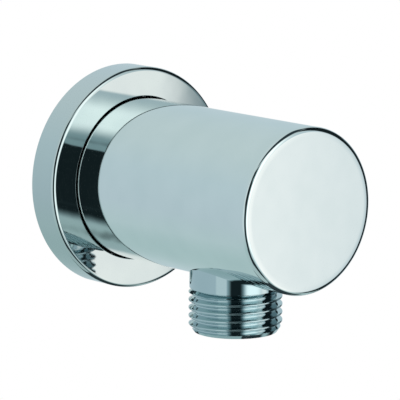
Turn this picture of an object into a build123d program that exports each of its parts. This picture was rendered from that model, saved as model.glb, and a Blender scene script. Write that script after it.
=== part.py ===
from build123d import *
import math
import os

# Wall outlet elbow for a shower hose. Millimetres, +Z up. The origin is the centre of the
# elbow where it meets the wall: the wall is the plane Y = 0, the barrel points along -Y into
# the room, and the hose outlet points down. "From wall" sizes are measured along the barrel,
# and "below axis" sizes are measured down from the barrel's centre line.

# Barrel: one turned brass body with a closed flat end
projection = 65.0
barrel_diameter = 37.0
barrel_edge_radius = 1.2
barrel_wall = 3.0
barrel_back = 1.0
barrel_back_chamfer = 0.4
recess_bottom = 26.0
recess_corner_radius = 1.2
outlet_from_wall = 41.2

# Cover flange on the wall
flange_diameter = 51.0
flange_front = 8.0
flange_back = 0.3
flange_gap = 0.3
flange_edge_radius = 1.0
flange_hole_edge = 0.2

# Rubber ring that holds the flange on the barrel
flange_ring_from_wall = 4.2
flange_ring_width = 2.2
flange_ring_groove_depth = 1.4
flange_ring_corner = 0.7

# Rubber gasket in the back of the flange, in a groove midway between its hole and its rim
gasket_groove_width = 3.25
gasket_groove_offset = 0.025
gasket_thickness = 1.8
gasket_fit = 0.05

# G 1/2 pipe threads: the ridges are rings one pitch apart, without the right-hand lead,
# and have flat crests and roots a sixth of the pitch wide
thread_diameter = 20.955
thread_pitch = 1.814
thread_depth = 1.162
thread_chamfer_length = 1.7
thread_run_out = 0.75
ridge_overlap = 0.1

# Inlet nipple, screwed into the wall fitting
inlet_thread_depth = 12.0
inlet_thread_front = 0.8
inlet_thread_crest = 0.0
inlet_relief_width = 1.1
inlet_collar_diameter = 24.0
inlet_collar_length = 2.6
inlet_bore = 9.5
spigot_diameter = 17.0
spigot_end = 27.0
spigot_chamfer = 0.9
hexagon_width = 10.0
hexagon_depth = 8.0
locking_groove_width = 6.8
locking_groove_depth = 1.0

# Socket of the body, which takes the spigot
socket_clearance = 0.1
socket_wall = 3.0
socket_mouth_gap = 0.6
socket_end_gap = 0.8
socket_lead_in = 1.0

# Ring under the collar, which seals against the wall fitting
inlet_ring_width = 1.0
inlet_ring_stands_out = 0.35
inlet_ring_corner = 0.35

# Rings on the spigot, each with the distance of its middle from the spigot's free end
spigot_ring_from_end = {"spigot_o_ring_outer": 7.6, "spigot_o_ring_inner": 3.6}
spigot_ring_groove_depth = 1.5
spigot_ring_groove_width = 2.5
spigot_ring_width = 2.3
spigot_ring_corner = 0.6
ring_fit = 0.03

# Grub screw M6 from below
grub_from_wall = 14.0
grub_diameter = 6.0
grub_sink = 0.55
grub_tip_chamfer = 1.0
grub_hexagon_width = 3.0
grub_hexagon_depth = 3.5
grub_fit = 0.04
grub_tip_gap = 0.05

# Waterway drilled in the body
axial_passage_diameter = 13.0
axial_passage_past_outlet = 4.5
drill_point_angle = 59.0
cross_passage_diameter = 12.0

# Outlet nipple, screwed into the body from below
outlet_neck_diameter = 20.6
outlet_neck_length = 1.7
outlet_thread_length = 9.9
outlet_thread_crest = 22.56
outlet_relief_width = 0.3
outlet_seat_depth = 3.5
outlet_seat_clearance = 0.05
outlet_spigot_diameter = 18.0
outlet_spigot_length = 5.4
outlet_washer_thickness = 1.0
outlet_washer_fit = 0.2
outlet_mouth_chamfer = 0.5

# Non-return cartridge in the outlet nipple
cartridge_bore = 15.0
cartridge_clearance = 0.05
cartridge_shoulder_rise = 0.8
cartridge_housing_length = 8.0
cartridge_top_wall = 1.2
cartridge_inlet_diameter = 9.2
cartridge_inner_diameter = 11.6
cartridge_ring_width = 1.6
cartridge_ring_groove_width = 1.8
cartridge_ring_groove_depth = 0.85
cartridge_ring_corner = 0.35
cartridge_ring_from_top = 4.2

# Poppet, its seal and its spring
poppet_neck_diameter = 7.3
poppet_nose_diameter = 8.4
poppet_nose_thickness = 0.6
poppet_nose_rise = 0.7
poppet_head_diameter = 10.0
poppet_head_thickness = 0.8
poppet_stem_diameter = 2.4
poppet_stem_past_hub = 0.3
poppet_travel = 2.2
seal_section_diameter = 1.6
seat_clearance = 0.15
spring_compressed = 4.4
spring_mean_diameter = 4.0
spring_wire = 0.4
spring_turns = 6
spring_end_gap = 0.02

# Spoked guide that closes the cartridge
guide_rim_inner_diameter = 12.4
guide_lip_length = 1.5
guide_lip_wall = 0.75
guide_lip_clearance = 0.05
guide_spoke_width = 1.2
guide_spokes = 4
guide_hub_diameter = 5.0
guide_hub_height = 2.4
stem_clearance = 0.08

# Wire ring that keeps the cartridge in
retaining_wire = 1.0
retaining_groove_depth = 0.6
retaining_fit = 0.05
retaining_opening_angle = 40.0

# Sizes that follow from the ones above
barrel_radius = barrel_diameter / 2
shell_inner_radius = barrel_radius - barrel_wall
flange_radius = flange_diameter / 2
flange_hole_radius = barrel_radius + flange_gap
gasket_groove_middle = (flange_hole_radius + flange_radius) / 2 + gasket_groove_offset
gasket_groove_inner = gasket_groove_middle - gasket_groove_width / 2
gasket_groove_outer = gasket_groove_middle + gasket_groove_width / 2
thread_radius = thread_diameter / 2
thread_root_radius = thread_radius - thread_depth
spigot_radius = spigot_diameter / 2
socket_radius = spigot_radius + socket_clearance
socket_outer_radius = socket_radius + socket_wall
collar_back = inlet_thread_front + inlet_relief_width
collar_front = collar_back + inlet_collar_length
socket_mouth = collar_front + socket_mouth_gap
socket_end = spigot_end + socket_end_gap
recess_corner = min(recess_corner_radius, 0.45 * (shell_inner_radius - socket_outer_radius))
locking_groove_radius = spigot_radius - locking_groove_depth
spigot_ring_inner_radius = spigot_radius - spigot_ring_groove_depth
grub_tip = locking_groove_radius + grub_tip_gap
grub_end = barrel_radius - grub_sink
outlet_seat = barrel_radius - outlet_seat_depth
outlet_neck_end = barrel_radius + outlet_neck_length
outlet_thread_start = outlet_neck_end + outlet_relief_width
outlet_end = outlet_neck_end + outlet_thread_length
outlet_spigot_end = outlet_seat - outlet_spigot_length
outlet_neck_radius = outlet_neck_diameter / 2
outlet_spigot_radius = outlet_spigot_diameter / 2
outlet_socket_bottom = outlet_spigot_end - outlet_washer_thickness
cartridge_bore_radius = cartridge_bore / 2
cartridge_radius = cartridge_bore_radius - cartridge_clearance
cartridge_inlet_radius = cartridge_inlet_diameter / 2
cartridge_inner_radius = cartridge_inner_diameter / 2
cartridge_shoulder = outlet_seat - cartridge_shoulder_rise
housing_end = cartridge_shoulder + cartridge_housing_length
seat_top = cartridge_shoulder + cartridge_top_wall
seal_section_radius = seal_section_diameter / 2
seal_ring_radius = poppet_neck_diameter / 2 + seal_section_radius
seal_centre = (
    seat_top
    + (seal_ring_radius - cartridge_inlet_radius)
    + math.sqrt(2) * (seal_section_radius + seat_clearance)
)
poppet_head_top = seal_centre + seal_section_radius
poppet_head_bottom = poppet_head_top + poppet_head_thickness
hub_top = poppet_head_bottom + spring_compressed + poppet_travel
guide_end = hub_top + guide_hub_height
retaining_centre = guide_end + retaining_fit + retaining_wire / 2


def turned(*outline):
    """A turned solid about the Z axis from an outline of (radius, height) points."""
    return revolve(Plane.XZ * Polygon(*outline, align=None), Axis.Z)


def turned_bar(radius, low, high):
    """A plain round bar on the Z axis between two heights."""
    return turned((0, low), (radius, low), (radius, high), (0, high))


def turned_ring(inner, outer, low, high):
    """A square-edged ring about the Z axis."""
    return turned((inner, low), (outer, low), (outer, high), (inner, high))


def rubber_ring(inner, outer, middle, width, corner):
    """A squeezed rubber ring about the Z axis, with a rounded section."""
    section = RectangleRounded(outer - inner, width, corner)
    return revolve(Plane.XZ * Pos((inner + outer) / 2, middle) * section, Axis.Z)


def circle_edges(solid, radius, height):
    """The round edges of one radius about the Z axis that lie at one height."""
    rings = solid.edges().filter_by(GeomType.CIRCLE)
    return rings.filter_by(
        lambda e: abs(e.radius - radius) < 0.01 and abs(e.arc_center.Z - height) < 0.01
    )


def hexagon_bar(width, low, high):
    """A hexagonal bar on the Z axis, for a key socket."""
    outline = RegularPolygon(width / 2, 6, major_radius=False)
    return Pos(0, 0, low) * extrude(outline, high - low)


def pipe_thread(free_end, inner_end, crest):
    """The ridges of a pipe thread round the Z axis, chamfered at the thread's free end.

    They run out at its inner end, and one of them has its crest at the given height.
    """
    inward = math.copysign(1, inner_end - free_end)
    foot_radius = thread_root_radius - ridge_overlap
    envelope = Polygon(
        (foot_radius, free_end),
        (thread_radius, free_end + inward * thread_chamfer_length),
        (thread_radius, inner_end - inward * thread_run_out),
        (foot_radius, inner_end),
        align=None,
    )
    crest_half = thread_pitch / 12
    root_half = thread_pitch * 5 / 12
    ridge = Polygon(
        (foot_radius, -root_half),
        (thread_root_radius, -root_half),
        (thread_radius, -crest_half),
        (thread_radius, crest_half),
        (thread_root_radius, root_half),
        (foot_radius, root_half),
        align=None,
    )
    first = math.floor((min(free_end, inner_end) - crest) / thread_pitch)
    last = math.ceil((max(free_end, inner_end) - crest) / thread_pitch)
    ridges = Sketch()
    for number in range(first, last + 1):
        ridges += Pos(0, crest + number * thread_pitch) * ridge
    return revolve(Plane.XZ * (ridges & envelope), Axis.Z)


def into_room(solid):
    """Turns a solid made along +Z so that +Z becomes the way out of the wall."""
    return Rot(90, 0, 0) * solid


def under_barrel(solid):
    """Turns a solid made along +Z so that +Z becomes down, on the outlet's axis."""
    return Pos(0, -outlet_from_wall, 0) * Rot(180, 0, 0) * solid


def elbow_body():
    """The barrel with its closed end, spigot socket, drilled waterway and outlet seat."""
    body = turned_bar(barrel_radius, barrel_back, projection)
    body = fillet(circle_edges(body, barrel_radius, projection), barrel_edge_radius)
    body = chamfer(circle_edges(body, barrel_radius, barrel_back), barrel_back_chamfer)
    recess = turned_ring(socket_outer_radius, shell_inner_radius, barrel_back, recess_bottom)
    recess = fillet(
        circle_edges(recess, socket_outer_radius, recess_bottom)
        + circle_edges(recess, shell_inner_radius, recess_bottom),
        recess_corner,
    )
    passage_radius = axial_passage_diameter / 2
    passage_end = outlet_from_wall + axial_passage_past_outlet
    point_length = passage_radius / math.tan(math.radians(drill_point_angle))
    socket = turned(
        (0, barrel_back - 1),
        (shell_inner_radius, barrel_back - 1),
        (shell_inner_radius, socket_mouth),
        (socket_radius + socket_lead_in, socket_mouth),
        (socket_radius, socket_mouth + 2 * socket_lead_in),
        (socket_radius, socket_end),
        (passage_radius, socket_end),
        (passage_radius, passage_end),
        (0, passage_end + point_length),
    )
    grub_hole = turned_bar(
        grub_diameter / 2 + grub_fit, locking_groove_radius, barrel_radius + 1
    )
    outlet_hole = turned(
        (0, 0),
        (cross_passage_diameter / 2, 0),
        (cross_passage_diameter / 2, outlet_socket_bottom),
        (outlet_spigot_radius + outlet_seat_clearance, outlet_socket_bottom),
        (outlet_spigot_radius + outlet_seat_clearance, outlet_seat),
        (outlet_neck_radius + outlet_seat_clearance, outlet_seat),
        (outlet_neck_radius + outlet_seat_clearance, barrel_radius + 1),
        (0, barrel_radius + 1),
    )
    body = into_room(body - recess - socket) - under_barrel(outlet_hole)
    return body - Pos(0, -grub_from_wall, 0) * Rot(180, 0, 0) * grub_hole


def wall_flange():
    """The cover ring, with a rubber ring groove in its hole and a gasket groove behind."""
    ring = turned_ring(flange_hole_radius, flange_radius, flange_back, flange_front)
    ring = fillet(circle_edges(ring, flange_radius, flange_front), flange_edge_radius)
    ring = fillet(circle_edges(ring, flange_hole_radius, flange_front), flange_hole_edge)
    groove_half = flange_ring_width / 2 + ring_fit
    ring -= turned_ring(
        flange_hole_radius - 1,
        flange_hole_radius + flange_ring_groove_depth,
        flange_ring_from_wall - groove_half,
        flange_ring_from_wall + groove_half,
    )
    ring -= turned_ring(
        gasket_groove_inner, gasket_groove_outer, flange_back - 1, gasket_thickness
    )
    return into_room(ring)


def flange_o_ring():
    """The rubber ring between the barrel and the flange."""
    return into_room(
        rubber_ring(
            barrel_radius + ring_fit,
            flange_hole_radius + flange_ring_groove_depth - ring_fit,
            flange_ring_from_wall,
            flange_ring_width,
            flange_ring_corner,
        )
    )


def wall_gasket():
    """The flat rubber ring that bears on the wall."""
    return into_room(
        turned_ring(
            gasket_groove_inner + gasket_fit,
            gasket_groove_outer - gasket_fit,
            0,
            gasket_thickness,
        )
    )


def inlet_nipple():
    """The connection nipple: wall thread, collar, ringed spigot and hexagon socket."""
    collar_radius = inlet_collar_diameter / 2
    nipple = turned(
        (inlet_bore / 2, -inlet_thread_depth),
        (thread_root_radius, -inlet_thread_depth),
        (thread_root_radius, collar_back),
        (collar_radius, collar_back),
        (collar_radius, collar_front),
        (spigot_radius, collar_front),
        (spigot_radius, spigot_end - spigot_chamfer),
        (spigot_radius - spigot_chamfer, spigot_end),
        (inlet_bore / 2, spigot_end),
    )
    nipple -= turned_ring(
        locking_groove_radius,
        spigot_radius + 1,
        grub_from_wall - locking_groove_width / 2,
        grub_from_wall + locking_groove_width / 2,
    )
    for from_end in spigot_ring_from_end.values():
        middle = spigot_end - from_end
        nipple -= turned_ring(
            spigot_ring_inner_radius,
            spigot_radius + 1,
            middle - spigot_ring_groove_width / 2,
            middle + spigot_ring_groove_width / 2,
        )
    nipple -= hexagon_bar(hexagon_width, spigot_end - hexagon_depth, spigot_end + 1)
    nipple += pipe_thread(-inlet_thread_depth, inlet_thread_front, inlet_thread_crest)
    return into_room(nipple)


def inlet_o_ring():
    """The rubber ring in the relief under the collar."""
    return into_room(
        rubber_ring(
            thread_root_radius + ring_fit,
            thread_radius + inlet_ring_stands_out,
            collar_back - ring_fit - inlet_ring_width / 2,
            inlet_ring_width,
            inlet_ring_corner,
        )
    )


def spigot_ring(from_end):
    """One of the rubber rings that seal the spigot in its socket."""
    return into_room(
        rubber_ring(
            spigot_ring_inner_radius + ring_fit,
            socket_radius - ring_fit,
            spigot_end - from_end,
            spigot_ring_width,
            spigot_ring_corner,
        )
    )


def grub_screw():
    """The set screw that locks the body on the nipple, tip up in the locking groove."""
    radius = grub_diameter / 2
    screw = turned(
        (0, grub_tip),
        (radius - grub_tip_chamfer, grub_tip),
        (radius, grub_tip + grub_tip_chamfer),
        (radius, grub_end),
        (0, grub_end),
    )
    screw -= hexagon_bar(grub_hexagon_width, grub_end - grub_hexagon_depth, grub_end + 1)
    return Pos(0, -grub_from_wall, 0) * Rot(180, 0, 0) * screw


def outlet_nipple():
    """The threaded outlet, with the bore for the non-return cartridge."""
    inner_radius = cross_passage_diameter / 2
    nipple = turned(
        (inner_radius, outlet_spigot_end),
        (outlet_spigot_radius, outlet_spigot_end),
        (outlet_spigot_radius, outlet_seat),
        (outlet_neck_radius, outlet_seat),
        (outlet_neck_radius, outlet_neck_end),
        (thread_root_radius, outlet_neck_end),
        (thread_root_radius, outlet_end),
        (cartridge_bore_radius + outlet_mouth_chamfer, outlet_end),
        (cartridge_bore_radius, outlet_end - outlet_mouth_chamfer),
        (cartridge_bore_radius, cartridge_shoulder),
        (inner_radius, cartridge_shoulder),
    )
    groove_half = retaining_wire / 2 + retaining_fit
    nipple -= turned_ring(
        cartridge_bore_radius - 1,
        cartridge_bore_radius + retaining_groove_depth,
        retaining_centre - groove_half,
        retaining_centre + groove_half,
    )
    nipple += pipe_thread(outlet_end, outlet_thread_start, outlet_thread_crest)
    return under_barrel(nipple)


def outlet_washer():
    """The flat washer between the outlet nipple's end and the bottom of its socket."""
    return under_barrel(
        turned_ring(
            cross_passage_diameter / 2 + outlet_washer_fit,
            outlet_spigot_radius - outlet_washer_fit,
            outlet_socket_bottom,
            outlet_spigot_end,
        )
    )


def check_valve_housing():
    """The upper half of the cartridge, with the conical valve seat and a ring groove."""
    cone_end = seat_top + cartridge_inner_radius - cartridge_inlet_radius
    housing = turned(
        (cartridge_inlet_radius, cartridge_shoulder),
        (cartridge_radius, cartridge_shoulder),
        (cartridge_radius, housing_end),
        (cartridge_inner_radius, housing_end),
        (cartridge_inner_radius, cone_end),
        (cartridge_inlet_radius, seat_top),
    )
    middle = cartridge_shoulder + cartridge_ring_from_top
    housing -= turned_ring(
        cartridge_radius - cartridge_ring_groove_depth,
        cartridge_radius + 1,
        middle - cartridge_ring_groove_width / 2,
        middle + cartridge_ring_groove_width / 2,
    )
    return under_barrel(housing)


def check_valve_o_ring():
    """The rubber ring round the cartridge."""
    return under_barrel(
        rubber_ring(
            cartridge_radius - cartridge_ring_groove_depth + ring_fit,
            cartridge_bore_radius - ring_fit,
            cartridge_shoulder + cartridge_ring_from_top,
            cartridge_ring_width,
            cartridge_ring_corner,
        )
    )


def check_valve_guide():
    """The lower half of the cartridge: rim, snap lip, spokes and the hub for the stem."""
    rim_inner_radius = guide_rim_inner_diameter / 2
    lip_radius = cartridge_inner_radius - guide_lip_clearance
    lip_inner_radius = lip_radius - guide_lip_wall
    guide = turned(
        (lip_inner_radius, housing_end - guide_lip_length),
        (lip_radius, housing_end - guide_lip_length),
        (lip_radius, housing_end),
        (cartridge_radius, housing_end),
        (cartridge_radius, guide_end),
        (rim_inner_radius, guide_end),
        (rim_inner_radius, housing_end + guide_lip_wall),
        (lip_inner_radius, housing_end),
    )
    reach = (rim_inner_radius + cartridge_radius) / 2
    spoke = Pos(reach / 2, 0, hub_top + guide_hub_height / 2) * Box(
        reach, guide_spoke_width, guide_hub_height
    )
    for turn in range(guide_spokes):
        guide += Rot(0, 0, turn * 360 / guide_spokes) * spoke
    guide += turned_bar(guide_hub_diameter / 2, hub_top, guide_end)
    stem_hole_radius = poppet_stem_diameter / 2 + stem_clearance
    return under_barrel(guide - turned_bar(stem_hole_radius, hub_top - 1, guide_end + 1))


def check_valve_poppet():
    """The valve disc, with a groove for its seal and a stem that slides in the guide."""
    nose_bottom = seal_centre - seal_section_radius
    nose_top = nose_bottom - poppet_nose_thickness
    nose_radius = poppet_nose_diameter / 2
    neck_radius = poppet_neck_diameter / 2
    head_radius = poppet_head_diameter / 2
    stem_radius = poppet_stem_diameter / 2
    stem_end = guide_end + poppet_stem_past_hub
    return under_barrel(
        turned(
            (0, nose_top - poppet_nose_rise),
            (nose_radius / 2, nose_top - poppet_nose_rise),
            (nose_radius, nose_top),
            (nose_radius, nose_bottom),
            (neck_radius, nose_bottom),
            (neck_radius, poppet_head_top),
            (head_radius, poppet_head_top),
            (head_radius, poppet_head_bottom),
            (stem_radius, poppet_head_bottom),
            (stem_radius, stem_end),
            (0, stem_end),
        )
    )


def poppet_seal():
    """The rubber ring on the poppet, which closes on the conical seat."""
    return under_barrel(Pos(0, 0, seal_centre) * Torus(seal_ring_radius, seal_section_radius))


def check_valve_spring():
    """The closing spring round the stem, between the poppet's head and the guide's hub."""
    wire_radius = spring_wire / 2
    low = poppet_head_bottom + wire_radius + spring_end_gap
    height = hub_top - wire_radius - spring_end_gap - low
    path = Helix(height / spring_turns, height, spring_mean_diameter / 2)
    section = Plane(origin=path @ 0, z_dir=path % 0) * Circle(wire_radius)
    return under_barrel(Pos(0, 0, low) * sweep(section, path=path, is_frenet=True))


def retaining_ring():
    """The open wire ring in its groove under the cartridge."""
    wire_radius = retaining_wire / 2
    ring_radius = cartridge_bore_radius + retaining_groove_depth - retaining_fit - wire_radius
    section = Plane.XZ * Pos(ring_radius, retaining_centre) * Circle(wire_radius)
    ring = revolve(section, Axis.Z, revolution_arc=360 - retaining_opening_angle)
    return under_barrel(Rot(0, 0, 90 + retaining_opening_angle / 2) * ring)


pieces = {
    "elbow_body": elbow_body(),
    "wall_flange": wall_flange(),
    "flange_o_ring": flange_o_ring(),
    "wall_gasket": wall_gasket(),
    "inlet_nipple": inlet_nipple(),
    "inlet_o_ring": inlet_o_ring(),
    "grub_screw": grub_screw(),
    "outlet_nipple": outlet_nipple(),
    "outlet_washer": outlet_washer(),
    "check_valve_housing": check_valve_housing(),
    "check_valve_o_ring": check_valve_o_ring(),
    "check_valve_guide": check_valve_guide(),
    "check_valve_poppet": check_valve_poppet(),
    "poppet_seal": poppet_seal(),
    "check_valve_spring": check_valve_spring(),
    "retaining_ring": retaining_ring(),
}
for ring_name, from_end in spigot_ring_from_end.items():
    pieces[ring_name] = spigot_ring(from_end)

os.makedirs("parts", exist_ok=True)
for name, piece in pieces.items():
    piece.label = name
    export_step(piece, f"parts/{name}.step")
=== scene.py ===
import math

import bmesh
import bpy
from mathutils import Matrix, Vector


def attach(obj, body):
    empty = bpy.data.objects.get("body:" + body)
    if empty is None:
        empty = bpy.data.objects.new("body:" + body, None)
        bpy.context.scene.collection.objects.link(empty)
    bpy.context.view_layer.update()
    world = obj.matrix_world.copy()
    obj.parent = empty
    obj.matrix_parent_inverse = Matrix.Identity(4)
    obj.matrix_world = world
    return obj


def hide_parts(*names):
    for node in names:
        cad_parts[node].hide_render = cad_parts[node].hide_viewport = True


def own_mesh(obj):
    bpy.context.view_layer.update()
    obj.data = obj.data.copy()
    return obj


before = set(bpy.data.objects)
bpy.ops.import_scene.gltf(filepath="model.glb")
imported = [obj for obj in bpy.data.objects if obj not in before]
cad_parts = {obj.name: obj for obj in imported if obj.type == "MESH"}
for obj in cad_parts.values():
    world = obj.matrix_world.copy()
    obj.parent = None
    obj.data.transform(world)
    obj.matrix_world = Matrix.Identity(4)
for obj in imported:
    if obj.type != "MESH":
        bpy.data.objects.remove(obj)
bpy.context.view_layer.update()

# The camera looks at the elbow from its front left and a little above, with a long lens.
# Its picture is square and 400 pixels wide. AIM_RIGHT and AIM_UP say how far, in metres,
# the lens axis passes beside and above the centre of the wall plane.
CAMERA_AZIMUTH, CAMERA_ELEVATION, CAMERA_ROLL = -40.7, 10.2, 0.15
CAMERA_DISTANCE = 0.748
FOCAL_PIXELS, PICTURE_WIDTH, SENSOR_MM = 3238.3, 400, 36.0
AIM_RIGHT, AIM_UP = 0.018883, -0.006219
azimuth, elevation, roll = (
    math.radians(v) for v in (CAMERA_AZIMUTH, CAMERA_ELEVATION, CAMERA_ROLL)
)
back = Vector((math.sin(azimuth) * math.cos(elevation),
               -math.cos(azimuth) * math.cos(elevation), math.sin(elevation)))
level_right = Vector((math.cos(azimuth), math.sin(azimuth), 0.0))
level_up = back.cross(level_right)
right = math.cos(roll) * level_right + math.sin(roll) * level_up
up = math.cos(roll) * level_up - math.sin(roll) * level_right
camera_data = bpy.data.cameras.new("photo_camera")
camera_data.sensor_width = SENSOR_MM
camera_data.lens = FOCAL_PIXELS / PICTURE_WIDTH * SENSOR_MM
camera_data.clip_start, camera_data.clip_end = 0.01, 20.0
camera = bpy.data.objects.new("photo_camera", camera_data)
eye = right * AIM_RIGHT + up * AIM_UP + back * CAMERA_DISTANCE
turn = Matrix((right, up, back)).transposed().to_4x4()
camera.matrix_world = Matrix.Translation(eye) @ turn
bpy.context.scene.collection.objects.link(camera)
bpy.context.scene.camera = camera
bpy.context.scene.view_settings.view_transform = "Standard"


# The studio is a pale tent that the chrome mirrors: blue-grey walls that turn greener and
# darker towards the floor, one large white softbox, and dark flags that draw the black
# lines. Directions are degrees to the right of the room (-Y) and above the horizon.
def linear(hex_colour):
    """An sRGB hex colour as the linear values that Blender takes."""
    values = [int(hex_colour[i:i + 2], 16) / 255 for i in (1, 3, 5)]
    return tuple(
        v / 12.92 if v <= 0.04045 else ((v + 0.055) / 1.055) ** 2.4 for v in values
    ) + (1.0,)


def add(tree, kind, inputs=(), **settings):
    """Adds a node; inputs maps socket names or numbers to values or to other sockets."""
    node = tree.nodes.new(kind)
    for name, value in settings.items():
        setattr(node, name, value)
    for name, value in dict(inputs).items():
        if isinstance(value, bpy.types.NodeSocket):
            tree.links.new(value, node.inputs[name])
        else:
            node.inputs[name].default_value = value
    return node


def ramp(tree, value, stops):
    """A colour ramp over a value from 0 to 1."""
    node = add(tree, "ShaderNodeValToRGB", {0: value})
    while len(node.color_ramp.elements) < len(stops):
        node.color_ramp.elements.new(0.5)
    for element, (place, colour) in zip(node.color_ramp.elements, stops):
        element.position, element.color = place, colour
    return node.outputs["Color"]


def bright(hex_colour, strength):
    """A linear colour made brighter or darker."""
    return tuple(strength * v for v in linear(hex_colour)[:3]) + (1.0,)


world = bpy.data.worlds.new("studio")
bpy.context.scene.world = world
world.use_nodes = True
sky = world.node_tree
sky.nodes.clear()
direction = add(sky, "ShaderNodeTexCoord").outputs["Generated"]
axes = add(sky, "ShaderNodeSeparateXYZ", {0: direction})
to_room = add(sky, "ShaderNodeMath", {0: axes.outputs[1], 1: -1.0}, operation="MULTIPLY")
sideways = add(sky, "ShaderNodeMath", {0: axes.outputs[0], 1: to_room.outputs[0]},
               operation="ARCTAN2")
upwards = add(sky, "ShaderNodeMath", {0: axes.outputs[2]}, operation="ARCSINE")
sideways = add(sky, "ShaderNodeMath", {0: sideways.outputs[0]},
               operation="DEGREES").outputs[0]
upwards = add(sky, "ShaderNodeMath", {0: upwards.outputs[0]},
              operation="DEGREES").outputs[0]


def side_mask(value, start, end):
    """0 at start and beyond it, 1 at end and beyond it, smooth between them."""
    node = add(sky, "ShaderNodeMapRange", {0: value, 1: start, 2: end, 3: 0.0, 4: 1.0},
               interpolation_type="SMOOTHSTEP")
    return node.outputs[0]


# how far a direction is beside the walls that the barrel and the flange's rim mirror,
# which are the directions with this share of +Y
MIRRORED_WALLS = 0.746
beside_walls = add(sky, "ShaderNodeMath", {0: axes.outputs[1], 1: MIRRORED_WALLS},
                   operation="SUBTRACT")
beside_walls = add(sky, "ShaderNodeMath", {0: beside_walls.outputs[0]},
                   operation="ABSOLUTE").outputs[0]


def card(below, colour, left, right_side, low, high, window=(-2.0, -1.0)):
    """Lays a card over the studio; each edge is (where it is gone, where it is full).
    A window leaves the card out near the mirrored walls; the default leaves nothing out."""
    mask = side_mask(sideways, *left)
    for value, (start, end) in ((sideways, right_side), (upwards, low), (upwards, high),
                                (beside_walls, window)):
        mask = add(sky, "ShaderNodeMath", {0: mask, 1: side_mask(value, start, end)},
                   operation="MULTIPLY").outputs[0]
    mix = add(sky, "ShaderNodeMix", {0: mask, 6: below, 7: colour}, data_type="RGBA")
    return mix.outputs[2]


height = add(sky, "ShaderNodeMapRange", {0: upwards, 1: -90.0, 2: 90.0, 3: 0.0, 4: 1.0})
studio = ramp(sky, height.outputs[0], [
    (0.00, linear("#A9BFC0")), (0.27, linear("#B2CBCC")), (0.32, linear("#BDD2D5")),
    (0.42, linear("#BFD1D8")), (0.60, linear("#C2D5DB")), (0.73, linear("#C8D9DB")),
    (1.00, linear("#D5E2E4")),
])
# far left: a bright strip beside the dark camera side
studio = card(studio, linear("#D9E8EB"), (-94, -88), (-62, -66), (-30, -16), (42, 30))
# the dark floor, and dark corners low behind the elbow on both sides of the grey walls
# that its barrel and rim mirror
studio = card(studio, linear("#2E3A3E"), (5, 15), (200, 190), (-95, -91), (-50, -56),
              (0.07, 0.10))
studio = card(studio, linear("#222D31"), (-200, -190), (-168, -174), (-60, -56), (-14, -18),
              (0.06, 0.09))
studio = card(studio, linear("#222D31"), (126, 134), (200, 190), (-60, -56), (-14, -18),
              (0.06, 0.09))
# the large softbox in front of the elbow, brightest in its middle, dimmer at its right end
studio = card(studio, bright("#F2FBFA", 1.40), (-26, -8), (40, 12), (-34, -18), (62, 42))
studio = card(studio, bright("#F6FFFF", 1.44), (-16, -2), (24, 6), (-30, -12), (40, 20))
studio = card(studio, bright("#FAFBF9", 1.18), (22, 32), (51, 37), (-50, -34), (12, 0))
# the dark room to the right of the softbox, and its dark ceiling
studio = card(studio, linear("#172023"), (47.5, 49.5), (116, 108), (-48, -38), (56, 48))
studio = card(studio, linear("#2B383E"), (-75, -60), (140, 125), (48, 56), (95, 91))
# the dark camera side, which reaches higher and lower farther to the left
studio = card(studio, linear("#92ADB2"), (-64, -60), (-12, -26), (-46, -34), (40, 32))
studio = card(studio, linear("#1B2629"), (-61, -51), (-17, -30), (-32, -25), (25.5, 24))
studio = card(studio, linear("#1B2629"), (-61, -51), (-14.5, -26.5), (-50, -38), (-22, -28))
studio = card(studio, linear("#1B2629"), (-70, -64), (-25, -31), (28.5, 31), (50, 44))
studio = card(studio, linear("#1B2629"), (-70, -64), (-33, -38), (0, 10), (46, 40))
studio = card(studio, linear("#232F34"), (-68, -60), (20, 6), (-64, -58), (-39, -42))
light_path = add(sky, "ShaderNodeLightPath")
# the white backdrop behind the elbow, which the camera sees wherever it stands, and
# which metal and clear pieces mirror or let through only within a few degrees of the way
# in which the photograph looks
backdrop_axis = add(sky, "ShaderNodeVectorMath", {0: direction, 1: tuple(-back)},
                    operation="DOT_PRODUCT")
BACKDROP_EDGE, BACKDROP_FULL = 10, 4
near_backdrop = side_mask(backdrop_axis.outputs["Value"],
                          math.cos(math.radians(BACKDROP_EDGE)),
                          math.cos(math.radians(BACKDROP_FULL)))
mirrored = add(sky, "ShaderNodeMath", {0: light_path.outputs["Is Glossy Ray"],
                                       1: light_path.outputs["Is Transmission Ray"]},
               operation="MAXIMUM")
mirrored = add(sky, "ShaderNodeMath", {0: mirrored.outputs[0], 1: near_backdrop},
               operation="MULTIPLY")
seen = add(sky, "ShaderNodeMath", {0: light_path.outputs["Is Camera Ray"],
                                   1: mirrored.outputs[0]}, operation="MAXIMUM")
final = add(sky, "ShaderNodeMix", {0: seen.outputs[0], 6: studio, 7: (1.0, 1.0, 1.0, 1.0)},
            data_type="RGBA")
shade = add(sky, "ShaderNodeBackground", {"Color": final.outputs[2], "Strength": 1.0})
add(sky, "ShaderNodeOutputWorld", {"Surface": shade.outputs[0]})

# One soft lamp from the softbox's side gives the matt pieces and the floor a shadow.
LAMP_WATTS, LAMP_SIDE, LAMP_PLACE = 2.2, 0.5, (0.22, -0.75, 0.55)
lamp_data = bpy.data.lights.new("softbox_lamp", "AREA")
lamp_data.energy, lamp_data.size = LAMP_WATTS, LAMP_SIDE
lamp = bpy.data.objects.new("softbox_lamp", lamp_data)
lamp.visible_glossy = False
lamp.location = LAMP_PLACE
lamp.rotation_euler = (-Vector(lamp.location)).to_track_quat("-Z", "Y").to_euler()
bpy.context.scene.collection.objects.link(lamp)

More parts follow.
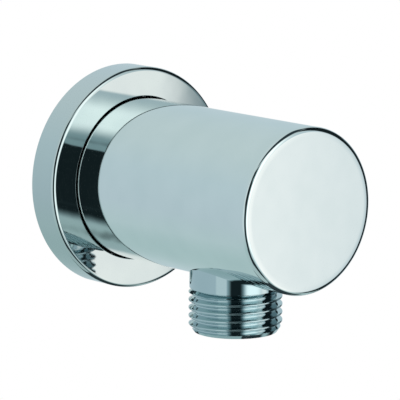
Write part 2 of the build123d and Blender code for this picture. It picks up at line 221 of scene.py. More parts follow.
# The floor is a pale round table well below the elbow, which hangs free over it. It keeps
# the elbow's soft shadow, and the chrome doesn't mirror it.
FLOOR_RADIUS, FLOOR_HEIGHT, FLOOR_FORWARD, FLOOR_GLOW = 0.22, -0.32, -0.03, 0.35
floor_mesh = bpy.data.meshes.new("table")
disc = bmesh.new()
bmesh.ops.create_circle(disc, cap_ends=True, segments=128, radius=FLOOR_RADIUS,
                        matrix=Matrix.Translation((0.0, FLOOR_FORWARD, FLOOR_HEIGHT)))
disc.to_mesh(floor_mesh)
disc.free()
floor = bpy.data.objects.new("table", floor_mesh)
bpy.context.scene.collection.objects.link(floor)
floor.visible_glossy = False
floor_material = bpy.data.materials.new("white_table_paper")
floor_material.use_nodes = True
paper = floor_material.node_tree
paper.nodes.clear()
matt = add(paper, "ShaderNodeBsdfDiffuse", {"Color": linear("#F4F5F5")})
glow = add(paper, "ShaderNodeEmission",
           {"Color": linear("#FFFFFF"), "Strength": FLOOR_GLOW})
both = add(paper, "ShaderNodeAddShader", {0: matt.outputs[0], 1: glow.outputs[0]})
# its underside lets a camera below the table see the elbow
side = add(paper, "ShaderNodeNewGeometry")
clear = add(paper, "ShaderNodeBsdfTransparent")
sheet = add(paper, "ShaderNodeMixShader", {0: side.outputs["Backfacing"],
                                           1: both.outputs[0], 2: clear.outputs[0]})
add(paper, "ShaderNodeOutputMaterial", {"Surface": sheet.outputs[0]})
floor_mesh.materials.append(floor_material)

# A grey card stands out of the picture to the right and shows only in reflections. It
# dims the right ends of the flange's face. Its place is measured from the elbow's origin
# along the way in which the flange mirrors it, and across that way.
CARD_AHEAD, CARD_START, CARD_FADE, CARD_END = 0.085, -0.005, 0.009, 0.045
CARD_LOW, CARD_HIGH = -0.060, 0.030
card_ahead = Vector((0.676, -0.737, 0.0))
card_across = Vector((0.737, 0.676, 0.0))
card_mesh = bpy.data.meshes.new("grey_card")
card_mesh.from_pydata(
    [card_ahead * CARD_AHEAD + card_across * across + Vector((0.0, 0.0, high))
     for across, high in ((CARD_START, CARD_LOW), (CARD_END, CARD_LOW),
                          (CARD_END, CARD_HIGH), (CARD_START, CARD_HIGH))],
    [], [(0, 1, 2, 3)])
grey_card = bpy.data.objects.new("grey_card", card_mesh)
bpy.context.scene.collection.objects.link(grey_card)
card_material = bpy.data.materials.new("grey_card_felt")
card_material.use_nodes = True
felt = card_material.node_tree
felt.nodes.clear()
card_place = add(felt, "ShaderNodeTexCoord").outputs["Object"]
card_place = add(felt, "ShaderNodeVectorMath", {0: card_place, 1: tuple(card_across)},
                 operation="DOT_PRODUCT").outputs["Value"]
cover = add(felt, "ShaderNodeMapRange", {0: card_place, 1: CARD_START, 2: CARD_FADE,
                                         3: 0.0, 4: 1.0}, interpolation_type="SMOOTHSTEP")
clear = add(felt, "ShaderNodeBsdfTransparent")
grey = add(felt, "ShaderNodeEmission", {"Color": linear("#7F959C"), "Strength": 1.0})
felt_mix = add(felt, "ShaderNodeMixShader", {0: cover.outputs[0], 1: clear.outputs[0],
                                             2: grey.outputs[0]})
add(felt, "ShaderNodeOutputMaterial", {"Surface": felt_mix.outputs[0]})
card_mesh.materials.append(card_material)
grey_card.visible_camera = grey_card.visible_diffuse = grey_card.visible_shadow = False


# Elbow body: brass turned from bar, its front end closed and flat with a small rounded
# edge, cross-drilled for the outlet, polished and chrome plated. A turned solid with two
# holes cut into it. Sizes are millimetres, and the barrel's lengths run from the wall.
BARREL_RADIUS, BARREL_END, BARREL_BACK, BARREL_EDGE = 18.5, 65.0, 1.0, 1.2
END_ROLL_START, END_ROLL_TILT = 16.3, 2.5
RECESS_RADIUS, SLEEVE_RADIUS, RECESS_FLOOR, RECESS_FILLET = 15.5, 11.6, 26.0, 1.2
SLEEVE_BACK, SPIGOT_BORE, SPIGOT_BORE_END = 5.1, 8.6, 27.8
WATERWAY_RADIUS, WATERWAY_END, DRILL_TIP = 6.5, 45.7, 49.6
OUTLET_FROM_WALL, CROSS_BORE, OUTLET_SHANK_HOLE, OUTLET_NECK_HOLE = 41.2, 6, 9.05, 10.35
GRUB_FROM_WALL, GRUB_HOLE = 14.0, 3.04
INTO_ROOM = Matrix.Rotation(math.radians(90), 4, "X")


def rounded(centre, radius, start, end, steps=10):
    """Profile points on an arc, angles in degrees from the radial direction."""
    angles = [math.radians(start + (end - start) * i / steps) for i in range(steps + 1)]
    return [(centre[0] + radius * math.cos(a), centre[1] + radius * math.sin(a))
            for a in angles]


def turned(profile, segments, placing, closed=True):
    """A mesh turned about Z from (radius, height) points in mm, then put in its place."""
    mesh = bmesh.new()
    rings = []
    for radius, high in profile:
        if radius < 1e-6:
            rings.append([mesh.verts.new((0.0, 0.0, high / 1000))])
            continue
        angles = [2 * math.pi * i / segments for i in range(segments)]
        rings.append([
            mesh.verts.new((radius * math.cos(a) / 1000, radius * math.sin(a) / 1000,
                            high / 1000)) for a in angles
        ])
    pairs = list(zip(rings, rings[1:]))
    if closed and len(rings[0]) > 1 and len(rings[-1]) > 1:
        pairs.append((rings[-1], rings[0]))
    for low_ring, high_ring in pairs:
        for i in range(segments):
            j = (i + 1) % segments
            corners = [low_ring[i % len(low_ring)], low_ring[j % len(low_ring)],
                       high_ring[j % len(high_ring)], high_ring[i % len(high_ring)]]
            mesh.faces.new(dict.fromkeys(corners))
    bmesh.ops.recalc_face_normals(mesh, faces=mesh.faces)
    mesh.transform(placing)
    return mesh


def finished(name, mesh, crease=30.0):
    """Turns a bmesh into a smooth-shaded object at the origin, with sharp creases kept."""
    data = bpy.data.meshes.new(name)
    mesh.to_mesh(data)
    mesh.free()
    data.polygons.foreach_set("use_smooth", [True] * len(data.polygons))
    data.set_sharp_from_angle(angle=math.radians(crease))
    piece = bpy.data.objects.new(name, data)
    bpy.context.scene.collection.objects.link(piece)
    return piece


def cut(piece, *cutters):
    """Takes the cutters' solids out of a piece and keeps the result as its mesh."""
    for number, cutter in enumerate(cutters):
        tool = finished(f"{piece.name}_cutter_{number}", cutter)
        change = piece.modifiers.new("hole", "BOOLEAN")
        change.operation, change.solver, change.object = "DIFFERENCE", "EXACT", tool
        bpy.context.view_layer.update()
        evaluated = piece.evaluated_get(bpy.context.evaluated_depsgraph_get())
        data = bpy.data.meshes.new_from_object(evaluated)
        piece.modifiers.remove(change)
        old, piece.data = piece.data, data
        data.name = piece.name
        bpy.data.meshes.remove(old)
        bpy.data.objects.remove(tool)


def under_barrel(from_wall):
    """Places a mesh made along +Z so that +Z points down from the barrel's axis."""
    return Matrix.Translation((0, -from_wall / 1000, 0)) @ Matrix.Rotation(math.pi, 4, "X")


# polishing rolls the end face over a little before its rounded edge
roll_end = BARREL_RADIUS - BARREL_EDGE + BARREL_EDGE * math.sin(math.radians(END_ROLL_TILT))
roll_width = roll_end - END_ROLL_START
roll_drop = roll_width * math.tan(math.radians(END_ROLL_TILT)) / 2
edge_centre = (BARREL_RADIUS - BARREL_EDGE,
               BARREL_END - roll_drop - BARREL_EDGE * math.cos(math.radians(END_ROLL_TILT)))
barrel_profile = [
    (0.0, BARREL_END), (END_ROLL_START - 0.4, BARREL_END),
    (END_ROLL_START - 0.05, BARREL_END),
    *[(END_ROLL_START + roll_width * step / 8, BARREL_END - roll_drop * (step / 8) ** 2)
      for step in range(8)],
    *rounded(edge_centre, BARREL_EDGE, 90 - END_ROLL_TILT, 0, 18),
    (BARREL_RADIUS, edge_centre[1] - 0.05),
    *[(BARREL_RADIUS, y) for y in (58.0, 30.0, 24.0, 2.0)],
    (BARREL_RADIUS, BARREL_BACK + 0.4), (BARREL_RADIUS - 0.4, BARREL_BACK),
    (RECESS_RADIUS, BARREL_BACK),
    *rounded((RECESS_RADIUS - RECESS_FILLET, RECESS_FLOOR - RECESS_FILLET),
             RECESS_FILLET, 0, 90, 6),
    *rounded((SLEEVE_RADIUS + RECESS_FILLET, RECESS_FLOOR - RECESS_FILLET),
             RECESS_FILLET, 90, 180, 6),
    (SLEEVE_RADIUS, SLEEVE_BACK), (SPIGOT_BORE + 1.0, SLEEVE_BACK),
    (SPIGOT_BORE, SLEEVE_BACK + 2.0), (SPIGOT_BORE, SPIGOT_BORE_END),
    (WATERWAY_RADIUS, SPIGOT_BORE_END), (WATERWAY_RADIUS, WATERWAY_END), (0.0, DRILL_TIP),
]
barrel = finished("elbow_barrel", turned(barrel_profile, 360, INTO_ROOM))
outlet_hole = turned(
    [(0, 0), (CROSS_BORE, 0), (CROSS_BORE, 8.6), (OUTLET_SHANK_HOLE, 8.6),
     (OUTLET_SHANK_HOLE, 15), (OUTLET_NECK_HOLE, 15), (OUTLET_NECK_HOLE, 20), (0, 20)],
    256, under_barrel(OUTLET_FROM_WALL))
grub_hole = turned([(0, 7.5), (GRUB_HOLE, 7.5), (GRUB_HOLE, 20), (0, 20)], 96,
                   under_barrel(GRUB_FROM_WALL))
cut(barrel, outlet_hole, grub_hole)
# the plated outside mirrors the studio, so its shading follows the true cylinder
normals = [Vector(corner.vector) for corner in barrel.data.corner_normals]
for face in barrel.data.polygons:
    points = [barrel.data.vertices[v].co for v in face.vertices]
    if all(abs(math.hypot(p.x, p.z) * 1000 - BARREL_RADIUS) < 0.002 for p in points):
        for loop, p in zip(face.loop_indices, points):
            normals[loop] = Vector((p.x, 0.0, p.z)).normalized()
barrel.data.normals_split_custom_set(normals)


def material(name):
    """A new node material with an empty Principled shader, as (material, tree, shader)."""
    made = bpy.data.materials.new(name)
    made.use_nodes = True
    made.node_tree.nodes.clear()
    shader = add(made.node_tree, "ShaderNodeBsdfPrincipled")
    add(made.node_tree, "ShaderNodeOutputMaterial", {"Surface": shader.outputs[0]})
    return made, made.node_tree, shader


def drive(tree, shader, patterns):
    """Links a material's patterns to its shader's sockets."""
    for socket, value in patterns.items():
        tree.links.new(value, shader.inputs[socket])


def polished_chrome(name, bright_tone, dim_tone, wave_height=0.000015):
    """Bright chromium over polished brass. The buffing leaves waves about 7 mm long and
    up to a hundredth of a millimetre high, which make straight reflections waver."""
    made, tree, shader = material(name)
    place = add(tree, "ShaderNodeTexCoord").outputs["Object"]
    waves = add(tree, "ShaderNodeTexNoise",
                {"Vector": place, "Scale": 150.0, "Detail": 1.0})
    bump = add(tree, "ShaderNodeBump", {"Height": waves.outputs["Fac"], "Strength": 1.0,
                                        "Distance": wave_height})
    haze = add(tree, "ShaderNodeTexNoise",
               {"Vector": place, "Scale": 900.0, "Detail": 3.0})
    rough = add(tree, "ShaderNodeMapRange", {0: haze.outputs["Fac"], 1: 0.3, 2: 0.7,
                                             3: 0.025, 4: 0.05})
    tone = ramp(tree, waves.outputs["Fac"],
                [(0.3, linear(dim_tone)), (0.7, linear(bright_tone))])
    drive(tree, shader, {"Base Color": tone, "Roughness": rough.outputs[0],
                         "Normal": bump.outputs[0]})
    shader.inputs["Metallic"].default_value = 1.0
    return made


barrel_chrome = polished_chrome("polished_chrome_barrel", "#E7EDED", "#E3EAEA")
barrel.data.materials.clear()
barrel.data.materials.append(barrel_chrome)
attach(barrel, "elbow")
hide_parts("elbow_body")


# Cover flange: a turned brass ring, chrome plated, that slides along the barrel on its
# rubber ring until its gasket bears on the wall. One turned solid with both ring grooves.
FLANGE_RADIUS, FLANGE_FRONT, FLANGE_HOLE, FLANGE_BACK = 25.5, 8.0, 18.8, 0.3
FLANGE_EDGE, FLANGE_HOLE_EDGE, FLANGE_BACK_EDGE = 1.0, 0.2, 0.2
RING_GROOVE_RADIUS, RING_GROOVE_BACK, RING_GROOVE_FRONT = 20.2, 3.07, 5.33
GASKET_GROOVE_INNER, GASKET_GROOVE_OUTER, GASKET_GROOVE_FLOOR = 20.55, 23.8, 1.8


def ground_chrome_painted_shade(name):
    """Chromium over brass that was ground but hardly buffed, as on the flange's rim, with
    lines round the rim about 0.1 mm apart that blur reflections slightly. Its colour is
    painted shade: a little greyer than the face, and darker still towards its underside."""
    made, tree, shader = material(name)
    place = add(tree, "ShaderNodeTexCoord").outputs["Object"]
    # painted shade: the colour darkens from the top of the rim to its underside
    high = add(tree, "ShaderNodeSeparateXYZ", {0: place}).outputs[2]
    high = add(tree, "ShaderNodeMapRange", {0: high, 1: -FLANGE_RADIUS / 1000,
                                            2: FLANGE_RADIUS / 1000, 3: 0.0, 4: 1.0})
    tone = ramp(tree, high.outputs[0], [
        (0.0, linear("#BECACA")), (0.35, linear("#C3CFCF")), (0.65, linear("#CFD9D9")),
        (1.0, linear("#DCE2E4"))])
    lined = add(tree, "ShaderNodeMapping",
                {"Vector": place, "Scale": (90.0, 9000.0, 90.0)})
    lines = add(tree, "ShaderNodeTexNoise", {"Vector": lined.outputs[0], "Scale": 1.0,
                                             "Detail": 3.0})
    rough = add(tree, "ShaderNodeMapRange", {0: lines.outputs["Fac"], 1: 0.3, 2: 0.7,
                                             3: 0.06, 4: 0.12})
    drive(tree, shader, {"Base Color": tone, "Roughness": rough.outputs[0]})
    shader.inputs["Metallic"].default_value = 1.0
    return made


flange_profile = [
    (FLANGE_RADIUS, FLANGE_BACK + FLANGE_BACK_EDGE), (FLANGE_RADIUS, 6.96),
    *rounded((FLANGE_RADIUS - FLANGE_EDGE, FLANGE_FRONT - FLANGE_EDGE),
             FLANGE_EDGE, 0, 90, 16),
    (24.46, FLANGE_FRONT), (FLANGE_HOLE + FLANGE_HOLE_EDGE + 0.03, FLANGE_FRONT),
    *rounded((FLANGE_HOLE + FLANGE_HOLE_EDGE, FLANGE_FRONT - FLANGE_HOLE_EDGE),
             FLANGE_HOLE_EDGE, 90, 180, 8),
    (FLANGE_HOLE, 7.78), (FLANGE_HOLE, RING_GROOVE_FRONT),
    (RING_GROOVE_RADIUS, RING_GROOVE_FRONT), (RING_GROOVE_RADIUS, RING_GROOVE_BACK),
    (FLANGE_HOLE, RING_GROOVE_BACK), (FLANGE_HOLE, FLANGE_BACK + FLANGE_BACK_EDGE),
    (FLANGE_HOLE + FLANGE_BACK_EDGE, FLANGE_BACK), (GASKET_GROOVE_INNER, FLANGE_BACK),
    (GASKET_GROOVE_INNER, GASKET_GROOVE_FLOOR), (GASKET_GROOVE_OUTER, GASKET_GROOVE_FLOOR),
    (GASKET_GROOVE_OUTER, FLANGE_BACK), (FLANGE_RADIUS - FLANGE_BACK_EDGE, FLANGE_BACK),
]
flange = finished("cover_flange", turned(flange_profile, 384, INTO_ROOM))
# the face gets the barrel's chrome painted a little darker, as shade
flange.data.materials.append(
    polished_chrome("polished_chrome_flange", "#D5DDDC", "#D1D9D9", 0.00003))
# the rim gets chrome painted greyer than the face, as shade
flange.data.materials.append(ground_chrome_painted_shade("rim_chrome_painted_shade"))
for face in flange.data.polygons:
    if math.hypot(face.center.x, face.center.z) * 1000 > FLANGE_RADIUS - 0.02:
        face.material_index = 1
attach(flange, "elbow")
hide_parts("wall_flange")


# Pipe threads G 1/2, cut on a lathe with rounded crests and roots: 20.955 mm over the
# crests, 1.814 mm pitch, 1.162 mm deep, right hand. The node tree lays a fine grid round
# the axis and lifts it to the thread's height, up to a chamfer at the free end.
THREAD_RADIUS, THREAD_PITCH, THREAD_FOOT = 10.4775, 1.814, 9.3155
# shares of the pitch in the 55 degree form: its depth, and the height of the sharp
# triangle, of which a sixth is rounded off at the crests and at the roots
ROOT_RADIUS = THREAD_RADIUS - 0.640327 * THREAD_PITCH
SHARP_HEIGHT = 0.960491 * THREAD_PITCH
ROUNDING, RUN_IN_SLOPE, TURNS_ADDED = 0.22, 1.6, 8.0

thread_tree = bpy.data.node_groups.new("pipe_thread", "GeometryNodeTree")
thread_tree.is_modifier = True
for name, kind, value in (
    ("Length", "NodeSocketFloat", 9.9), ("Turn of Start", "NodeSocketFloat", 0.0),
    ("Neck Radius", "NodeSocketFloat", THREAD_FOOT),
    ("Neck Length", "NodeSocketFloat", 0.3), ("End Radius", "NodeSocketFloat", THREAD_FOOT),
    ("Chamfer Length", "NodeSocketFloat", 1.7),
    ("Round Cells", "NodeSocketInt", 257), ("Long Cells", "NodeSocketInt", 200),
    ("Material", "NodeSocketMaterial", None),
):
    socket = thread_tree.interface.new_socket(name=name, in_out="INPUT", socket_type=kind)
    if value is not None:
        socket.default_value = value
thread_tree.interface.new_socket(name="Geometry", in_out="OUTPUT",
                                 socket_type="NodeSocketGeometry")
given = add(thread_tree, "NodeGroupInput").outputs


def sum_up(operation, *values):
    """One Math node of the thread's tree."""
    inputs = dict(enumerate(values))
    return add(thread_tree, "ShaderNodeMath", inputs, operation=operation).outputs[0]


sheet = add(thread_tree, "GeometryNodeMeshGrid", {
    "Size X": 1.0, "Size Y": 1.0, "Vertices X": given["Round Cells"],
    "Vertices Y": given["Long Cells"]})
place = add(thread_tree, "ShaderNodeSeparateXYZ",
            {0: add(thread_tree, "GeometryNodeInputPosition").outputs[0]}).outputs
part_turn = sum_up("ADD", place[0], 0.5)
along = sum_up("MULTIPLY", sum_up("ADD", place[1], 0.5), given["Length"])
wave = sum_up("SUBTRACT", sum_up("DIVIDE", along, THREAD_PITCH), part_turn)
wave = sum_up("ADD", sum_up("ADD", wave, given["Turn of Start"]), TURNS_ADDED)
wave = sum_up("FRACT", wave)
flank = sum_up("ABSOLUTE", sum_up("SUBTRACT", sum_up("MULTIPLY", wave, 2.0), 1.0))
flank = sum_up("SUBTRACT", SHARP_HEIGHT * 5 / 6, sum_up("MULTIPLY", flank, SHARP_HEIGHT))
flank = sum_up("SMOOTH_MIN", flank, SHARP_HEIGHT * 4 / 6, ROUNDING)
flank = sum_up("SMOOTH_MAX", flank, 0.0, ROUNDING)
lift = sum_up("ADD", flank, ROOT_RADIUS)
run_in = sum_up("MAXIMUM", sum_up("SUBTRACT", along, given["Neck Length"]), 0.0)
run_in = sum_up("ADD", given["Neck Radius"], sum_up("MULTIPLY", run_in, RUN_IN_SLOPE))
to_end = sum_up("SUBTRACT", given["Length"], along)
to_end = sum_up("DIVIDE", to_end, given["Chamfer Length"])
chamfer = sum_up("MULTIPLY", to_end, sum_up("SUBTRACT", THREAD_RADIUS, given["End Radius"]))
chamfer = sum_up("ADD", given["End Radius"], chamfer)
lift = sum_up("MINIMUM", sum_up("MINIMUM", lift, run_in),
              sum_up("MINIMUM", chamfer, THREAD_RADIUS))
angle = sum_up("MULTIPLY", part_turn, 2 * math.pi)
spot = add(thread_tree, "ShaderNodeCombineXYZ", {
    0: sum_up("MULTIPLY", lift, sum_up("COSINE", angle)),
    1: sum_up("MULTIPLY", lift, sum_up("SINE", angle)), 2: along})
spot = add(thread_tree, "ShaderNodeVectorMath", {0: spot.outputs[0], "Scale": 0.001},
           operation="SCALE")
wrapped = add(thread_tree, "GeometryNodeSetPosition",
              {"Geometry": sheet.outputs["Mesh"], "Position": spot.outputs[0]})
joined = add(thread_tree, "GeometryNodeMergeByDistance",
             {"Geometry": wrapped.outputs[0], "Distance": 0.000001})
real = add(thread_tree, "GeometryNodeRealizeInstances", {"Geometry": joined.outputs[0]})
plated = add(thread_tree, "GeometryNodeSetMaterial",
             {"Geometry": real.outputs[0], "Material": given["Material"]})
add(thread_tree, "NodeGroupOutput", {"Geometry": plated.outputs[0]})


def thread(finish, cells, **sizes):
    """The thread's surface as a bmesh, from the node tree with the given input values."""
    holder = bpy.data.objects.new("thread_blank", bpy.data.meshes.new("thread_blank"))
    bpy.context.scene.collection.objects.link(holder)
    change = holder.modifiers.new("thread", "NODES")
    change.node_group = thread_tree
    sizes.update({"Round Cells": cells + 1, "Material": finish})
    for item in thread_tree.interface.items_tree:
        if item.in_out == "INPUT" and item.name in sizes:
            change[item.identifier] = sizes[item.name]
    bpy.context.view_layer.update()
    evaluated = holder.evaluated_get(bpy.context.evaluated_depsgraph_get())
    data = bpy.data.meshes.new_from_object(evaluated)
    mesh = bmesh.new()
    mesh.from_mesh(data)
    holder.modifiers.remove(change)
    bpy.data.objects.remove(holder)
    bpy.data.meshes.remove(data)
    return mesh


def threaded(name, profile, start, cells, placing, finish, **sizes):
    """A turned piece with an open profile whose gap the thread closes, as one solid."""
    screw = thread(finish, cells, **sizes)
    screw.transform(Matrix.Translation((0, 0, start / 1000)))
    body = turned(profile, cells, Matrix.Identity(4), closed=False)
    scrap = bpy.data.meshes.new("scrap")
    screw.to_mesh(scrap)
    body.from_mesh(scrap)
    screw.free()
    bpy.data.meshes.remove(scrap)
    bmesh.ops.remove_doubles(body, verts=body.verts, dist=0.000002)
    bmesh.ops.recalc_face_normals(body, faces=body.faces)
    body.transform(placing)
    piece = finished(name, body)
    piece.data.materials.clear()
    piece.data.materials.append(finish)
    return piece


# Hose outlet: the threaded nipple that is screwed into the barrel from below, turned
# brass, chrome plated with the body. It holds the non-return cartridge in its bore.
# Its lengths run down from the barrel's axis.
NECK_RADIUS, NECK_TOP, NECK_END, OUTLET_END = 10.3, 15.0, 20.2, 30.1
SHANK_RADIUS, SHANK_TOP, OUTLET_WATERWAY, CARTRIDGE_TOP = 9.0, 9.6, 6.0, 14.2
CARTRIDGE_BORE, WIRE_GROOVE_RADIUS = 7.5, 8.1
WIRE_GROOVE_TOP, WIRE_GROOVE_END = 27.19, 28.29
# the outlet's chrome is the body's plating painted darker, as shade under the barrel
outlet_chrome_painted_shade = polished_chrome("polished_chrome_outlet", "#C5D5D8", "#BFD0D3")
outlet_profile = [
    (THREAD_FOOT, NECK_END), (NECK_RADIUS - 0.1, NECK_END), (NECK_RADIUS, NECK_END - 0.1),
    (NECK_RADIUS, NECK_TOP), (SHANK_RADIUS, NECK_TOP), (SHANK_RADIUS, SHANK_TOP),
    (OUTLET_WATERWAY, SHANK_TOP), (OUTLET_WATERWAY, CARTRIDGE_TOP),
    (CARTRIDGE_BORE, CARTRIDGE_TOP), (CARTRIDGE_BORE, WIRE_GROOVE_TOP),
    (WIRE_GROOVE_RADIUS, WIRE_GROOVE_TOP), (WIRE_GROOVE_RADIUS, WIRE_GROOVE_END),
    (CARTRIDGE_BORE, WIRE_GROOVE_END), (CARTRIDGE_BORE, OUTLET_END - 0.5),
    (CARTRIDGE_BORE + 0.5, OUTLET_END), (THREAD_FOOT, OUTLET_END),
]
outlet = threaded("hose_outlet", outlet_profile, NECK_END, 256,
                  under_barrel(OUTLET_FROM_WALL), outlet_chrome_painted_shade,
                  **{"Length": OUTLET_END - NECK_END, "Turn of Start": 0.562})
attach(outlet, "elbow")
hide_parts("outlet_nipple")


# Wall nipple: plain turned brass, screwed into the wall fitting with a key in its hexagon.
# The smooth spigot in front carries two rubber rings and the groove for the grub screw.
def turned_brass(name):
    """Machined brass, a warm yellow with duller stains. The tool's fine rings round its
    axis are about 0.1 mm apart, and are drawn at 0.4 mm so that they show."""
    made, tree, shader = material(name)
    place = add(tree, "ShaderNodeTexCoord").outputs["Object"]
    rings = add(tree, "ShaderNodeTexWave", {"Vector": place, "Scale": 800.0,
                                            "Distortion": 0.6, "Detail": 2.0},
                bands_direction="Y")
    stain = add(tree, "ShaderNodeTexNoise",
                {"Vector": place, "Scale": 180.0, "Detail": 4.0})
    tone = ramp(tree, stain.outputs["Fac"], [
        (0.3, linear("#B08D4A")), (0.55, linear("#C9A862")), (0.75, linear("#D6BA78"))])
    rough = add(tree, "ShaderNodeMapRange", {0: stain.outputs["Fac"], 1: 0.3, 2: 0.7,
                                             3: 0.36, 4: 0.22})
    bump = add(tree, "ShaderNodeBump", {"Height": rings.outputs["Fac"], "Strength": 0.5,
                                        "Distance": 0.00002})
    drive(tree, shader, {"Base Color": tone, "Roughness": rough.outputs[0],
                         "Normal": bump.outputs[0]})
    shader.inputs["Metallic"].default_value = 1.0
    return made


nipple_brass = turned_brass("turned_brass")
# its lengths run from the wall's face, into the wall where they are above zero
COLLAR_RADIUS, COLLAR_BACK, COLLAR_FRONT, COLLAR_EDGE = 12.0, -1.9, -4.5, 0.2
SPIGOT_RADIUS, SPIGOT_END, SPIGOT_BEVEL = 8.5, -27.0, 0.9
LOCK_GROOVE, RING_GROOVE = 7.5, 7.0
NIPPLE_BORE, NIPPLE_END = 4.75, 12.0
KEY_ACROSS, KEY_LENGTH, KEY_MIDDLE = 10.0, 9.0, -23.5
nipple_profile = [
    (THREAD_FOOT, COLLAR_BACK), (COLLAR_RADIUS - COLLAR_EDGE, COLLAR_BACK),
    (COLLAR_RADIUS, COLLAR_BACK - COLLAR_EDGE), (COLLAR_RADIUS, COLLAR_FRONT + COLLAR_EDGE),
    (COLLAR_RADIUS - COLLAR_EDGE, COLLAR_FRONT), (SPIGOT_RADIUS, COLLAR_FRONT),
]
for groove, groove_back, groove_front in (
        (LOCK_GROOVE, -10.6, -17.4), (RING_GROOVE, -18.15, -20.65),
        (RING_GROOVE, -22.15, -24.65)):
    nipple_profile += [(SPIGOT_RADIUS, groove_back), (groove, groove_back),
                       (groove, groove_front), (SPIGOT_RADIUS, groove_front)]
nipple_profile += [
    (SPIGOT_RADIUS, SPIGOT_END + SPIGOT_BEVEL), (SPIGOT_RADIUS - SPIGOT_BEVEL, SPIGOT_END),
    (NIPPLE_BORE, SPIGOT_END), (NIPPLE_BORE, NIPPLE_END - 0.3),
    (NIPPLE_BORE + 0.3, NIPPLE_END), (THREAD_FOOT, NIPPLE_END),
]
INTO_WALL = Matrix.Rotation(math.radians(-90), 4, "X")
nipple = threaded("wall_nipple", nipple_profile, COLLAR_BACK, 200, INTO_WALL, nipple_brass,
                  **{"Length": NIPPLE_END - COLLAR_BACK, "Neck Length": 1.1,
                     "Turn of Start": 0.2, "Long Cells": 220})
hexagon = bmesh.new()
key_radius = KEY_ACROSS / 2000 / math.cos(math.pi / 6)
bmesh.ops.create_cone(hexagon, cap_ends=True, segments=6, depth=KEY_LENGTH / 1000,
                      radius1=key_radius, radius2=key_radius,
                      matrix=INTO_WALL @ Matrix.Translation((0, 0, KEY_MIDDLE / 1000)))
cut(nipple, hexagon)
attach(nipple, "elbow")
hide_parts("inlet_nipple")


# Rubber rings, moulded from black EPDM: the flange's ring, the wall gasket, the ring under
# the nipple's collar, the spigot's two rings, the cartridge's ring and the poppet's seal.
def coated(names, finish):
    """Gives CAD nodes that keep their shape a better material."""
    for name in names:
        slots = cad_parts[name].data.materials
        for index in range(len(slots)):
            slots[index] = finish


def epdm_rubber(name):
    """Black rubber with a faint grey bloom in patches about 2 mm wide, and a fine grain
    from the mould about 0.1 mm wide, so it is dark and matt with a dull sheen."""
    made, tree, shader = material(name)
    place = add(tree, "ShaderNodeTexCoord").outputs["Object"]
    bloom = add(tree, "ShaderNodeTexNoise",
                {"Vector": place, "Scale": 500.0, "Detail": 4.0})
    grain = add(tree, "ShaderNodeTexNoise",
                {"Vector": place, "Scale": 9000.0, "Detail": 2.0})
    tone = ramp(tree, bloom.outputs["Fac"], [
        (0.3, linear("#121314")), (0.6, linear("#1B1C1D")), (0.8, linear("#292A2B"))])
    rough = add(tree, "ShaderNodeMapRange", {0: bloom.outputs["Fac"], 1: 0.3, 2: 0.8,
                                             3: 0.42, 4: 0.62})
    bump = add(tree, "ShaderNodeBump", {"Height": grain.outputs["Fac"], "Strength": 0.4,
                                        "Distance": 0.00001})
    drive(tree, shader, {"Base Color": tone, "Roughness": rough.outputs[0],
                         "Normal": bump.outputs[0]})
    return made


coated(["flange_o_ring", "wall_gasket", "inlet_o_ring", "spigot_o_ring_inner",
        "spigot_o_ring_outer", "check_valve_o_ring", "poppet_seal"],
       epdm_rubber("moulded_epdm_rubber"))


# Outlet washer: a flat ring stamped from pressed red-brown fibre sheet, between the end of
# the outlet nipple and the bottom of its socket.
def pressed_fibre(name):
    """Fibre sheet: dull red-brown, with lighter and darker fibres a few tenths of a
    millimetre wide lying every way in the sheet, and a soft, dry surface."""
    made, tree, shader = material(name)
    place = add(tree, "ShaderNodeTexCoord").outputs["Object"]
    strands = add(tree, "ShaderNodeTexNoise", {"Vector": place, "Scale": 2500.0,
                                               "Detail": 6.0, "Distortion": 1.5})
    tone = ramp(tree, strands.outputs["Fac"], [
        (0.3, linear("#4A2117")), (0.5, linear("#6E3322")), (0.7, linear("#8C4A33"))])
    bump = add(tree, "ShaderNodeBump", {"Height": strands.outputs["Fac"], "Strength": 0.6,
                                        "Distance": 0.00003})
    drive(tree, shader, {"Base Color": tone, "Normal": bump.outputs[0]})
    shader.inputs["Roughness"].default_value = 0.8
    return made


coated(["outlet_washer"], pressed_fibre("pressed_fibre"))


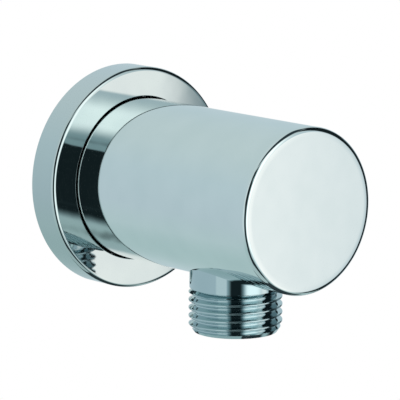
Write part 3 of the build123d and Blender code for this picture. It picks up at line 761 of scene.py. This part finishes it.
# Stainless steel pieces: the grub screw that locks the body on the nipple, the spring of
# the check valve and the wire ring that keeps the cartridge in.
def stainless_steel(name):
    """Cold drawn stainless steel: grey and fairly bright, with drawing lines along Z about
    0.2 mm apart that spread the highlights, and slightly duller patches."""
    made, tree, shader = material(name)
    place = add(tree, "ShaderNodeTexCoord").outputs["Object"]
    drawn = add(tree, "ShaderNodeMapping",
                {"Vector": place, "Scale": (6000.0, 6000.0, 300.0)})
    lines = add(tree, "ShaderNodeTexNoise", {"Vector": drawn.outputs[0], "Scale": 1.0,
                                             "Detail": 3.0})
    patches = add(tree, "ShaderNodeTexNoise",
                  {"Vector": place, "Scale": 600.0, "Detail": 3.0})
    tone = ramp(tree, patches.outputs["Fac"], [
        (0.3, linear("#A9A8A4")), (0.7, linear("#C6C6C2"))])
    rough = add(tree, "ShaderNodeMapRange", {0: lines.outputs["Fac"], 1: 0.3, 2: 0.7,
                                             3: 0.2, 4: 0.36})
    bump = add(tree, "ShaderNodeBump", {"Height": lines.outputs["Fac"], "Strength": 0.3,
                                        "Distance": 0.000005})
    drive(tree, shader, {"Base Color": tone, "Roughness": rough.outputs[0],
                         "Normal": bump.outputs[0]})
    shader.inputs["Metallic"].default_value = 1.0
    return made


drawn_steel = stainless_steel("drawn_stainless_steel")
coated(["grub_screw", "check_valve_spring", "retaining_ring"], drawn_steel)


# Closing spring of the check valve: a copy of its node's coils, as a piece of its own. It
# stands on the guide's hub and the poppet's head presses it from 6.6 mm to 4.4 mm.
spring = bpy.data.objects.new("closing_spring",
                              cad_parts["check_valve_spring"].data.copy())
bpy.context.scene.collection.objects.link(spring)
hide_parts("check_valve_spring")
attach(spring, "elbow")
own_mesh(spring)


# Non-return cartridge: housing and spoked guide moulded in white acetal and snapped
# together, and the poppet moulded in grey acetal, which slides on its stem in the guide.
def moulded_acetal(name, dark_tone, bright_tone):
    """Acetal as it comes from the mould: a waxy, even colour with faint flow clouds about
    3 mm wide, a soft gloss, and a little light that spreads under the skin."""
    made, tree, shader = material(name)
    place = add(tree, "ShaderNodeTexCoord").outputs["Object"]
    clouds = add(tree, "ShaderNodeTexNoise", {"Vector": place, "Scale": 350.0,
                                              "Detail": 3.0, "Distortion": 0.8})
    tone = ramp(tree, clouds.outputs["Fac"], [
        (0.3, linear(dark_tone)), (0.7, linear(bright_tone))])
    rough = add(tree, "ShaderNodeMapRange", {0: clouds.outputs["Fac"], 1: 0.3, 2: 0.7,
                                             3: 0.3, 4: 0.42})
    drive(tree, shader, {"Base Color": tone, "Roughness": rough.outputs[0]})
    shader.inputs["Subsurface Weight"].default_value = 0.15
    shader.inputs["Subsurface Scale"].default_value = 0.0006
    return made


coated(["check_valve_housing", "check_valve_guide"],
       moulded_acetal("white_acetal", "#DEDCD3", "#ECEBE4"))
coated(["check_valve_poppet"], moulded_acetal("grey_acetal", "#5D6266", "#6F7478"))
